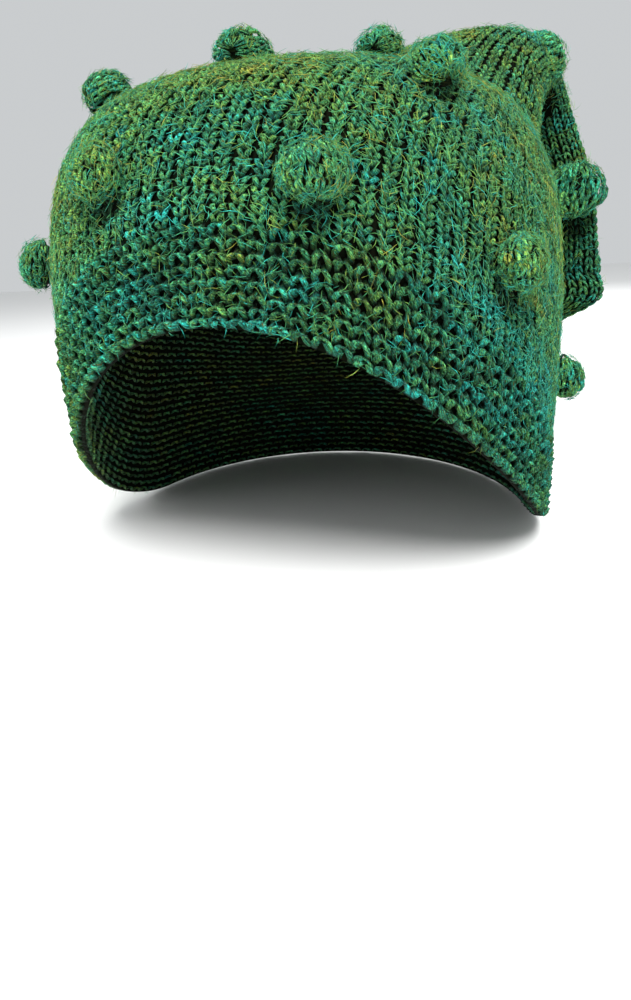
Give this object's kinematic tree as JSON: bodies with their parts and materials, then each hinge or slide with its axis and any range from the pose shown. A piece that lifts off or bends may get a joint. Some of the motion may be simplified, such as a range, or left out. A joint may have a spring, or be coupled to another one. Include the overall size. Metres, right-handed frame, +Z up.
{
  "type": "knitted hat with bobbles and a folded tail",
  "caption": "Pull-on knitted wool hat with a purl band, raised bobbles all over and a flat floppy tail that folds down behind the crown.",
  "frame": {"origin": "middle of the head opening at the height of the nape, the lowest point of the rim", "axes": "+Z up as worn, -Y towards the wearer's face, +X towards the wearer's left"},
  "size_m": [0.2207, 0.2265, 0.1856],
  "materials": {
    "wool_plain_knit": "heathered green wool in stockinette, with olive, teal and turquoise in the yarn and a soft halo of fibres",
    "wool_band": "the same wool in a purl-faced texture, bumpy, slightly more teal",
    "wool_edge": "the same wool as a twisted cast-on edge",
    "wool_bobble": "the same wool knitted into tight stuffed bobbles"
  },
  "bodies": {
    "hat": {"brim_band": "wool_band", "cast_on_edge": "wool_edge", "crown_body": "wool_plain_knit", "fold_crest": "wool_plain_knit", "crown_bobble_01": "wool_bobble", "crown_bobble_02": "wool_bobble", "crown_bobble_03": "wool_bobble", "crown_bobble_04": "wool_bobble", "crown_bobble_05": "wool_bobble", "crown_bobble_06": "wool_bobble", "crown_bobble_07": "wool_bobble", "crown_bobble_08": "wool_bobble", "crown_bobble_09": "wool_bobble", "crown_bobble_10": "wool_bobble", "crown_bobble_11": "wool_bobble", "crown_bobble_12": "wool_bobble", "crown_bobble_13": "wool_bobble", "crown_bobble_14": "wool_bobble", "crown_bobble_15": "wool_bobble", "crown_bobble_16": "wool_bobble", "crown_bobble_17": "wool_bobble", "crown_bobble_18": "wool_bobble", "crown_bobble_19": "wool_bobble", "tail_bobble_01": "wool_bobble"},
    "tail_top": {"tail_upper": "wool_plain_knit", "tail_bobble_02": "wool_bobble", "tail_bobble_03": "wool_bobble", "tail_bobble_04": "wool_bobble"},
    "tail_tip": {"tail_lower": "wool_plain_knit", "tail_end": "wool_plain_knit", "tail_bobble_05": "wool_bobble", "tail_bobble_06": "wool_bobble", "tail_bobble_07": "wool_bobble"}
  },
  "joints": [
    {"name": "tail_fold", "type": "hinge", "parent": "hat", "child": "tail_top", "pos_m": [0.04769, 0.07632, 0.153], "axis": [0.848, -0.5299, 0], "range_deg": [0, 100], "deforming": ["fold_crest"]},
    {"name": "tail_bend", "type": "hinge", "parent": "tail_top", "child": "tail_tip", "pos_m": [0.05405, 0.0865, 0.112], "axis": [0.848, -0.5299, 0], "range_deg": [0, 75]}
  ]
}
